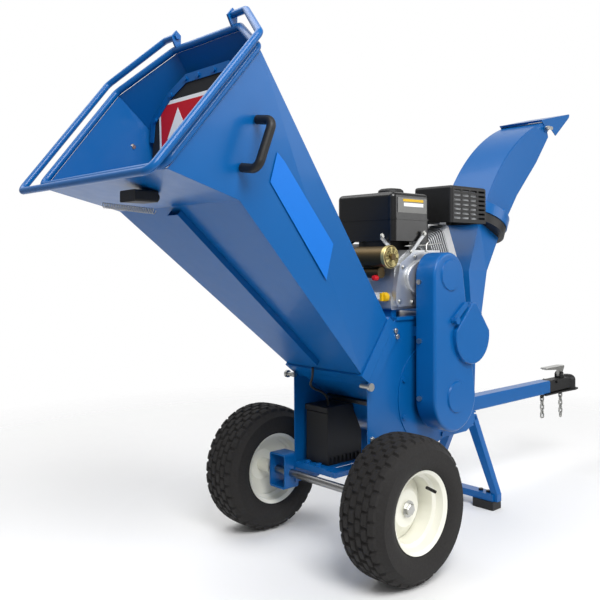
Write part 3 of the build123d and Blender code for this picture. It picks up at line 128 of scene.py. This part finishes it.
BLUE = material("blue", (3, 90, 158), 0.32, coat=0.1, bump=0.06, scale=26, mottle=0.06, shine=0.3)
CREAM = material("cream", (233, 232, 220), 0.35, coat=0.3, bump=0.04)
TYRE = material("tyre", (28, 26, 25), 0.85, bump=0.35, scale=160, mottle=0.1)
ZINC = material("zinc", (186, 186, 182), 0.34, metal=1.0, bump=0.06, scale=200, mottle=0.1)
STEEL = material("steel", (150, 150, 150), 0.3, metal=1.0, bump=0.05, scale=150, mottle=0.08)
BLACK = material("black_paint", (8, 8, 9), 0.5, bump=0.08, mottle=0.08)
TANK = material("tank", (6, 6, 7), 0.3, coat=0.1, bump=0.03, scale=20, mottle=0.05)
PLASTIC = material("black_plastic", (16, 16, 17), 0.52, bump=0.2, scale=400)
ALLOY = material("alloy", (200, 202, 204), 0.42, metal=0.8, bump=0.3, scale=260, mottle=0.1)
IRON = material("iron", (70, 70, 72), 0.45, metal=0.8, bump=0.15)
RUBBER = material("rubber", (20, 20, 21), 0.7, bump=0.1)
BRONZE = material("bronze", (92, 76, 48), 0.38, metal=0.75, bump=0.08)
GOLD = material("gold_cap", (206, 190, 130), 0.35, metal=0.8, bump=0.05)
YELLOW = material("yellow", (214, 172, 18), 0.4, shine=0.3)
RED = material("red", (196, 18, 32), 0.5, shine=0.3)
WHITE = material("white", (240, 240, 238), 0.45)
DECAL = material("decal_blue", (6, 112, 208), 0.4, shine=0.3)
LABEL_GREY = material("label_grey", (112, 112, 110), 0.4, metal=0.4, bump=0.04)

FINISH = {
    CREAM: ["rim_left", "rim_right"], TYRE: ["tyre_left", "tyre_right"],
    ZINC: ["frame_bolts", "deflector_bolts", "chain_front", "chain_rear", "coupler_latch", "return_spring"],
    STEEL: ["axle", "bed_knife", "bearings", "rotor_knives", "rotor"],
    BLACK: ["muffler_guard", "duct_collar", "stand_feet", "coupler_body"], TANK: ["fuel_tank"],
    PLASTIC: ["battery_box", "hopper_handle", "air_filter", "recoil_housing", "recoil_handle", "stop_switch",
              "fuel_cap"],
    ALLOY: ["engine_block", "cylinder", "muffler", "engine_side_cover"],
    IRON: ["rotor_pulley", "engine_pulley", "idler"], RUBBER: ["battery_lead", "curtain", "drive_belt"],
    BRONZE: ["starter_motor"], YELLOW: ["oil_dipstick"],
}
PAINT = {name: finish for finish, names in FINISH.items() for name in names}
for name, node in NODES.items():
    node.data.materials.clear()
    node.data.materials.append(PAINT.get(name, BLUE))


# ---------------------------------------------------------------- building pieces
def piece(name, mesh, finish, body, smooth=True, angle=35):
    """A mesh as an object with its finish, riding on a CAD body."""
    made = bpy.data.objects.new(name, mesh)
    bpy.context.scene.collection.objects.link(made)
    mesh.materials.append(finish)
    if smooth:
        mesh.polygons.foreach_set("use_smooth", [True] * len(mesh.polygons))
        mesh.set_sharp_from_angle(angle=math.radians(angle))
    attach(made, body)
    return made


def from_faces(name, points, faces):
    """A mesh with its faces turned outwards."""
    mesh = bpy.data.meshes.new(name)
    mesh.from_pydata([tuple(p) for p in points], [], faces)
    mesh.validate()
    work = bmesh.new()
    work.from_mesh(mesh)
    bmesh.ops.recalc_face_normals(work, faces=work.faces)
    work.to_mesh(mesh)
    work.free()
    return mesh


def lathe(name, profile, centre, axis, steps=48):
    """A closed (along, radius) profile turned round an axis: points are in metres from the centre."""
    axis = axis.normalized()
    side_way = axis.orthogonal().normalized()
    other = axis.cross(side_way)
    points, faces, count = [], [], len(profile)
    for s in range(steps):
        turn = 2 * math.pi * s / steps
        out = side_way * math.cos(turn) + other * math.sin(turn)
        points += [centre + axis * a + out * r for a, r in profile]
    for s in range(steps):
        for k in range(count):
            n = (k + 1) % count
            t = (s + 1) % steps
            faces.append((s * count + k, s * count + n, t * count + n, t * count + k))
    return from_faces(name, points, faces)


def prism(name, outline, thickness):
    """A flat outline of 3-D points, thickened along its own normal."""
    normal = (outline[1] - outline[0]).cross(outline[2] - outline[0]).normalized() * thickness
    count = len(outline)
    points = list(outline) + [p + normal for p in outline]
    faces = [tuple(range(count)), tuple(range(2 * count - 1, count - 1, -1))]
    faces += [(k, (k + 1) % count, (k + 1) % count + count, k + count) for k in range(count)]
    return from_faces(name, points, faces)


def tube(name, points, radius, finish, body):
    """A round wire or hose in straight runs between points, as a curve."""
    curve = bpy.data.curves.new(name, "CURVE")
    curve.dimensions = "3D"
    curve.bevel_depth = radius
    curve.bevel_resolution = 4
    spline = curve.splines.new("POLY")
    spline.points.add(len(points) - 1)
    for place, p in zip(spline.points, points):
        place.co = (*p, 1)
    curve.materials.append(finish)
    made = bpy.data.objects.new(name, curve)
    bpy.context.scene.collection.objects.link(made)
    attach(made, body)
    return made


def hex_bolt(name, centre, axis, size, body):
    """A zinc washer and a chamfered hexagon head on a face, sized by the head's corner radius."""
    axis = axis.normalized()
    flat = axis.orthogonal().normalized()
    other = axis.cross(flat)
    points, faces = [], []
    base, tall, washer_r = size * 0.16, size * 0.6, size * 1.35
    rings = [(0.0, size), (tall * 0.8, size), (tall, size * 0.86)]
    for along, radius in rings:
        for k in range(6):
            turn = math.pi * k / 3
            out = flat * math.cos(turn) + other * math.sin(turn)
            points.append(centre + axis * (base + along) + out * radius)
    for ring in range(2):
        faces += [(ring * 6 + k, ring * 6 + (k + 1) % 6, ring * 6 + 6 + (k + 1) % 6, ring * 6 + 6 + k)
                  for k in range(6)]
    faces += [tuple(range(5, -1, -1)), tuple(range(12, 18))]
    piece(name, from_faces(name, points, faces), ZINC, body, smooth=False)
    disc = [(0, ON_AXIS), (0, washer_r), (base, washer_r), (base, ON_AXIS)]
    piece(name + "_washer", lathe(name + "_washer", disc, centre, axis, 28), ZINC, body)


# ---------------------------------------------------------------- tyres with a block tread, and hubs
# The tyre's lengths are in millimetres, from its middle plane and from the axle
RINGS, ACROSS = 288, 44
TREAD_HALF, GROOVE_DEEP = 62.0, 6.0
TREAD_ROWS, BLOCK_STEPS, GAP_STEPS, ROW_SHIFT, BLOCK_HALF = 6.0, 9, 2, 4, 0.42
CROWN_R, CROWN_FALL, EDGE_FALL = 203.0, 2.5, 8.0
WALL = [(79, 172), (80, 148), (76, 134), (70, 121), (63, 114.8), (56, 107)]
SHOULDER = WALL + [(-x, r) for x, r in reversed(WALL)]


def tread_radius(x):
    """The tyre's outer radius at a distance from its middle plane."""
    return CROWN_R - CROWN_FALL * (x / TREAD_HALF) ** 2 - (EDGE_FALL * (abs(x) / TREAD_HALF) ** 6)


def groove(x, step):
    """1 in a groove between tread blocks, 0 on a block."""
    across = (x + TREAD_HALF) / (2 * TREAD_HALF / TREAD_ROWS)
    from_middle = abs(across % 1.0 - 0.5)
    phase = (step + (ROW_SHIFT if int(across) % 2 else 0)) % BLOCK_STEPS
    return 1.0 if from_middle > BLOCK_HALF or phase < GAP_STEPS else 0.0


def tyre(name, body, middle):
    """The tyre's closed section turned about its axle, with the tread's blocks cut into the crown."""
    profile_x = [-TREAD_HALF + 2 * TREAD_HALF * k / (ACROSS - 1) for k in range(ACROSS)]
    points, faces = [], []
    count = ACROSS + len(SHOULDER)
    for s in range(RINGS):
        turn = 2 * math.pi * s / RINGS
        cos, sin = math.cos(turn), math.sin(turn)
        ring = [(x, tread_radius(x) - GROOVE_DEEP * groove(x, s)) for x in profile_x]
        for x, r in ring + SHOULDER:
            points.append(Vector((middle.x + x * MM, middle.y + r * MM * cos, middle.z + r * MM * sin)))
    for s in range(RINGS):
        t = (s + 1) % RINGS
        for k in range(count):
            n = (k + 1) % count
            faces.append((s * count + k, s * count + n, t * count + n, t * count + k))
    made = piece(name + "_tread", from_faces(name + "_tread", points, faces), TYRE, body, angle=28)
    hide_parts(name)


# The hub nut and the valve are in metres
NUT_BACK, NUT_SIZE = 0.009, 0.017
VALVE_PLACE, VALVE_RUN, VALVE_R = (0.030, 0.066, 0.048), (0.034, -0.004, -0.004), 0.0045


def outwards(step, way):
    """A step given for the belt side's wheel, turned over for the other wheel."""
    return Vector((way * step[0], step[1], step[2]))


for side, way in (("right", 1), ("left", -1)):
    body = "wheel_" + side
    tyre("tyre_" + side, body, mid("tyre_" + side))
    hub = Vector((high("axle").x if way > 0 else low("axle").x, AXLE.y, AXLE.z))
    hex_bolt(f"hub_nut_{way}", hub - outwards((NUT_BACK, 0, 0), way), Vector((way, 0, 0)), NUT_SIZE, body)
    valve = mid("rim_" + side) + outwards(VALVE_PLACE, way)
    tube(f"valve_{way}", [valve, valve + outwards(VALVE_RUN, way)], VALVE_R, RUBBER, body)

# ---------------------------------------------------------------- hopper: label on the curtain, decal, bolts
FRONT_Y = low("curtain").y
FILM = 0.0006


def on_curtain(points, lift):
    """Points given by x and z in millimetres, laid on the curtain's front and lifted off it."""
    return [Vector((x * MM, FRONT_Y - lift * MM, z * MM)) for x, z in points]


def film(name, corners, finish, body):
    """A thin flat film, such as a sticker."""
    piece(name, prism(name, corners, FILM), finish, body, smooth=False)


LABEL = [(-228, 1150), (228, 1150), (236, 1316), (202, 1348), (-202, 1348), (-236, 1316)]
PANEL = [(-218, 1162), (218, 1162), (225, 1311), (196, 1337), (-196, 1337), (-225, 1311)]
TRIANGLE = [(-190, 1238), (-84, 1238), (-137, 1322)]
film("label_border", on_curtain(LABEL, 0.2), WHITE, "hopper")
film("label_panel", on_curtain(PANEL, 0.9), RED, "hopper")
film("label_mark", on_curtain(TRIANGLE, 1.6), WHITE, "hopper")

DECAL_CORNERS = [at(284, -451, 1151), at(278, -421, 1130), at(233, -208, 934), at(221, -222, 838),
                 at(275, -466, 1079)]
DECAL_LIFT = Vector((0.987, 0.081, -0.139)) * 0.0012
film("panel_decal", [p + DECAL_LIFT for p in DECAL_CORNERS], DECAL, "hopper")
hex_bolt("side_bolt_left", at(-297, -503, 1223), X_WAY, 0.007, "hopper")

# The return spring as a coil, along the diagonal of its CAD box
COIL_STEPS, STEPS_A_TURN, COIL_R, WIRE_R = 420, 20, 0.0062, 0.0011
INSET_X, INSET_Y, INSET_Z = 0.004, 0.005, 0.008
spring_low, spring_high = low("return_spring"), high("return_spring")
ends = (Vector((spring_low.x + INSET_X, spring_low.y + INSET_Y, spring_high.z - INSET_Z)),
        Vector((spring_high.x - INSET_X, spring_high.y - INSET_Y, spring_low.z + INSET_Z)))
run = ends[1] - ends[0]
across = run.orthogonal().normalized()
over = run.normalized().cross(across)
coil = []
for k in range(COIL_STEPS):
    turn = 2 * math.pi * k / STEPS_A_TURN
    out = across * math.cos(turn) + over * math.sin(turn)
    coil.append(ends[0] + run * (k / (COIL_STEPS - 1)) + out * COIL_R)
spring = tube("return_spring_coil", coil, WIRE_R, ZINC, "hopper")
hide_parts("return_spring")

# The battery lead runs in a bend between the box and the hopper's cable cover
LEAD_R = 0.004
LEAD_ROUTE = [(-70, 78, 424.2), (-70, 78, 462), (-48, -30, 496), (-10, -46, 540), (-6, -54, 564)]
route = bpy.data.curves.new("lead_route", "CURVE")
route.dimensions = "3D"
route.bevel_depth = LEAD_R
route.bevel_resolution = 4
route.resolution_u = 12
spline = route.splines.new("NURBS")
spline.points.add(len(LEAD_ROUTE) - 1)
for place, p in zip(spline.points, LEAD_ROUTE):
    place.co = (*at(*p), 1)
spline.order_u = 3
spline.use_endpoint_u = True
route_object = bpy.data.objects.new("lead_route", route)
lead_mesh = bpy.data.meshes.new_from_object(route_object)
lead_mesh.materials.clear()
bpy.data.objects.remove(route_object)
lead = bpy.data.objects.new("battery_lead_bent", lead_mesh)
lead_mesh.materials.append(RUBBER)
bpy.context.scene.collection.objects.link(lead)
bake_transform(lead)
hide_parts("battery_lead")

# ---------------------------------------------------------------- engine details
tank_high = high("fuel_tank")
SEAM_PROUD = 0.003
TANK_SIDE_X = tank_high.x - SEAM_PROUD + FILM


def tank_sticker(name, y_range, z_range, finish, lift=FILM):
    """A plain sticker on the tank's belt side, clear of the seam that stands proud of it."""
    (y0, y1), (z0, z1) = y_range, z_range
    corners = [(y0, z0), (y1, z0), (y1, z1), (y0, z1)]
    film(name, [Vector((TANK_SIDE_X + lift, AXLE_Y + y * MM, z * MM)) for y, z in corners], finish, "chassis")


tank_sticker("tank_label", (161, 304), (1038, 1085), LABEL_GREY, 0.0)
tank_sticker("tank_label_top", (186, 286), (1073, 1081), YELLOW)
tank_sticker("tank_label_low", (190, 286), (1058, 1069), WHITE)


def bracket_arm(name, x, line, width=15, thickness=0.004):
    """A flat steel arm along a line of (y, z) points, in millimetres."""
    upper = [at(x, y, z + width / 2) for y, z in line]
    lower = [at(x, y, z - width / 2) for y, z in reversed(line)]
    piece(name, prism(name, upper + lower, thickness), ALLOY, "chassis", smooth=False)


bracket_arm("tank_arm_front", 118, [(116, 962), (136, 946), (178, 914), (196, 906)])
bracket_arm("tank_arm_rear", 157, [(206, 910), (222, 920), (250, 946), (284, 976)])
for k, place in enumerate((at(122, 120, 964), at(161, 278, 974), at(161, 214, 914))):
    hex_bolt(f"arm_bolt_{k}", place, X_WAY, 0.0065, "chassis")

# The filler cap is a low dome over the neck
cap_mid = mid("fuel_cap")
NECK_DEEP = 0.0135
neck = Vector((cap_mid.x, cap_mid.y, tank_high.z - NECK_DEEP))
DOME = [(0, ON_AXIS), (0, 0.039), (0.007, 0.0415), (0.013, 0.040), (0.0175, 0.033), (0.0195, 0.018),
        (0.020, ON_AXIS)]
filler = piece("filler_cap", lathe("filler_cap", DOME, neck, Z_WAY), PLASTIC, "fuel_cap", angle=50)
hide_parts("fuel_cap")

# Starter: gold end cap, terminal with a red boot
CAP = [(0, ON_AXIS), (0, 0.0352), (0.012, 0.0352), (0.016, 0.030), (0.016, ON_AXIS)]
piece("starter_cap", lathe("starter_cap", CAP, at(158, 106, 900), X_WAY), GOLD, "chassis")
BOOT = [(0, ON_AXIS), (0, 0.009), (0.016, 0.0075), (0.018, ON_AXIS)]
piece("terminal_boot", lathe("terminal_boot", BOOT, at(118, 100, 836), -Y_WAY, 24), RED, "chassis")

# Leads, the fuel hose and the governor's linkage beside the engine
WIRES = {
    "ignition_lead": ([(60, 128, 900), (40, 112, 880), (52, 104, 846), (84, 108, 838), (112, 104, 837)],
                      0.0035, RUBBER),
    "starter_lead": ([(58, 112, 852), (30, 104, 830), (24, 108, 790), (40, 118, 752), (60, 124, 724)],
                     0.005, RUBBER),
    "fuel_hose": ([(-30, 160, 952), (-44, 132, 930), (-40, 124, 890), (-20, 130, 860)], 0.004, RUBBER),
    "governor_rod": ([(150, 196, 934), (150, 300, 938), (146, 392, 946)], 0.0022, ZINC),
    "governor_arm": ([(152, 300, 906), (152, 300, 938), (150, 312, 948)], 0.003, ZINC),
}
for name, (line, radius, finish) in WIRES.items():
    tube(name, [at(*p) for p in line], radius, finish, "chassis")

# Bolts round the flange of the engine's side cover
FLANGE_BACK = 0.012
COVER_BOLTS = [(150, 764), (210, 760), (330, 760), (388, 764), (384, 860), (350, 900), (226, 900), (168, 868)]
flange_x = high("engine_side_cover").x - FLANGE_BACK
for k, (y, z) in enumerate(COVER_BOLTS):
    hex_bolt(f"cover_bolt_{k}", Vector((flange_x, AXLE_Y + y * MM, z * MM)), X_WAY, 0.006, "chassis")

# Bolts round each bearing: the face that they sit on, for the belt side and the other side
BEARING_FACE = {1: 0.175, -1: -0.187}
BEARING_BOLT_R = 0.055
for way, face_x in BEARING_FACE.items():
    for k in range(4):
        turn = math.radians(45 + 90 * k)
        out = Vector((0, math.cos(turn), math.sin(turn))) * BEARING_BOLT_R
        place = Vector((face_x, ROTOR.y, ROTOR.z)) + out
        hex_bolt(f"bearing_bolt_{way}_{k}", place, X_WAY * way, 0.008, "chassis")


# ---------------------------------------------------------------- floor, light, camera
def stage_mesh(name, points, faces, finish):
    """A mesh of the surroundings, which isn't part of the machine."""
    mesh = from_faces(name, points, faces)
    made = bpy.data.objects.new(name, mesh)
    bpy.context.scene.collection.objects.link(made)
    mesh.materials.append(finish)


FLOOR = material("floor", (246, 246, 246), 0.7)
FADE_START, FADE_END = 1.0, 2.9


def fade_out(finish):
    """Let a floor finish run into the white backdrop with its distance from the middle."""
    tree = finish.node_tree
    shader = tree.nodes["Principled BSDF"]
    place = tree.nodes.new("ShaderNodeTexCoord")
    reach = tree.nodes.new("ShaderNodeVectorMath")
    reach.operation = "LENGTH"
    share = tree.nodes.new("ShaderNodeMapRange")
    share.inputs["From Min"].default_value = FADE_START
    share.inputs["From Max"].default_value = FADE_END
    clear = tree.nodes.new("ShaderNodeBsdfTransparent")
    mix = tree.nodes.new("ShaderNodeMixShader")
    tree.links.new(place.outputs["Object"], reach.inputs[0])
    tree.links.new(reach.outputs["Value"], share.inputs["Value"])
    tree.links.new(share.outputs["Result"], mix.inputs["Fac"])
    tree.links.new(shader.outputs["BSDF"], mix.inputs[1])
    tree.links.new(clear.outputs["BSDF"], mix.inputs[2])
    tree.links.new(mix.outputs["Shader"], tree.nodes["Material Output"].inputs["Surface"])


fade_out(FLOOR)
FLOOR_HALF, FLOOR_Z = 60, -0.0005
FLOOR_CORNERS = [(x * FLOOR_HALF, y * FLOOR_HALF, FLOOR_Z) for x, y in ((-1, -1), (1, -1), (1, 1), (-1, 1))]
stage_mesh("floor", FLOOR_CORNERS, [(0, 1, 2, 3)], FLOOR)

# The camera's turn in radians
YAW, PITCH, ROLL = 0.83590, 0.01027, -0.00132
forward = Vector((-math.sin(YAW) * math.cos(PITCH), math.cos(YAW) * math.cos(PITCH), math.sin(PITCH)))

# A backdrop that is white behind the machine and dim elsewhere, so that the paint keeps its depth
DIM, BRIGHT = 0.34, 1.0
FADE_FROM, FADE_TO = 0.55, 0.86
world = bpy.data.worlds.new("studio")
world.use_nodes = True
tree = world.node_tree
place = tree.nodes.new("ShaderNodeTexCoord")
along = tree.nodes.new("ShaderNodeVectorMath")
along.operation = "DOT_PRODUCT"
along.inputs[1].default_value = forward
fade = tree.nodes.new("ShaderNodeMapRange")
fade.inputs["From Min"].default_value = FADE_FROM
fade.inputs["From Max"].default_value = FADE_TO
fade.inputs["To Min"].default_value = DIM
fade.inputs["To Max"].default_value = BRIGHT
tree.links.new(place.outputs["Generated"], along.inputs[0])
tree.links.new(along.outputs["Value"], fade.inputs["Value"])
tree.links.new(fade.outputs["Result"], tree.nodes["Background"].inputs["Strength"])
tree.nodes["Background"].inputs["Color"].default_value = (1, 1, 1, 1)
bpy.context.scene.world = world


def lamp(name, place, aim, power, size):
    """A square area lamp that points at a place."""
    data = bpy.data.lights.new(name, "AREA")
    data.energy = power
    data.size = size
    made = bpy.data.objects.new(name, data)
    bpy.context.scene.collection.objects.link(made)
    made.location = place
    made.rotation_euler = (Vector(aim) - Vector(place)).to_track_quat("-Z", "Y").to_euler()


lamp("key", (2.6, -1.6, 3.4), (0, 0, 0.7), 150, 2.0)
lamp("fill", (3.2, 2.6, 2.2), (0, 0.2, 0.7), 60, 2.6)
lamp("top", (-1.2, -1.0, 3.8), (0, 0, 0.8), 70, 3.0)

right = Vector((math.cos(YAW), math.sin(YAW), 0))
up = right.cross(forward)
right, up = right * math.cos(ROLL) + up * math.sin(ROLL), up * math.cos(ROLL) - right * math.sin(ROLL)
LENS, SENSOR, SHIFT = 45.32, 36.0, (0.0208, -0.080)
CAMERA_PLACE = at(1648.66, -1651.21, 891.74)
camera_data = bpy.data.cameras.new("camera")
camera_data.lens = LENS
camera_data.sensor_width = SENSOR
camera_data.shift_x, camera_data.shift_y = SHIFT
camera = bpy.data.objects.new("camera", camera_data)
bpy.context.scene.collection.objects.link(camera)
turned = Matrix((right, up, -forward)).transposed().to_4x4()
camera.matrix_world = Matrix.Translation(CAMERA_PLACE) @ turned
bpy.context.scene.camera = camera
bpy.context.scene.view_settings.view_transform = "Standard"
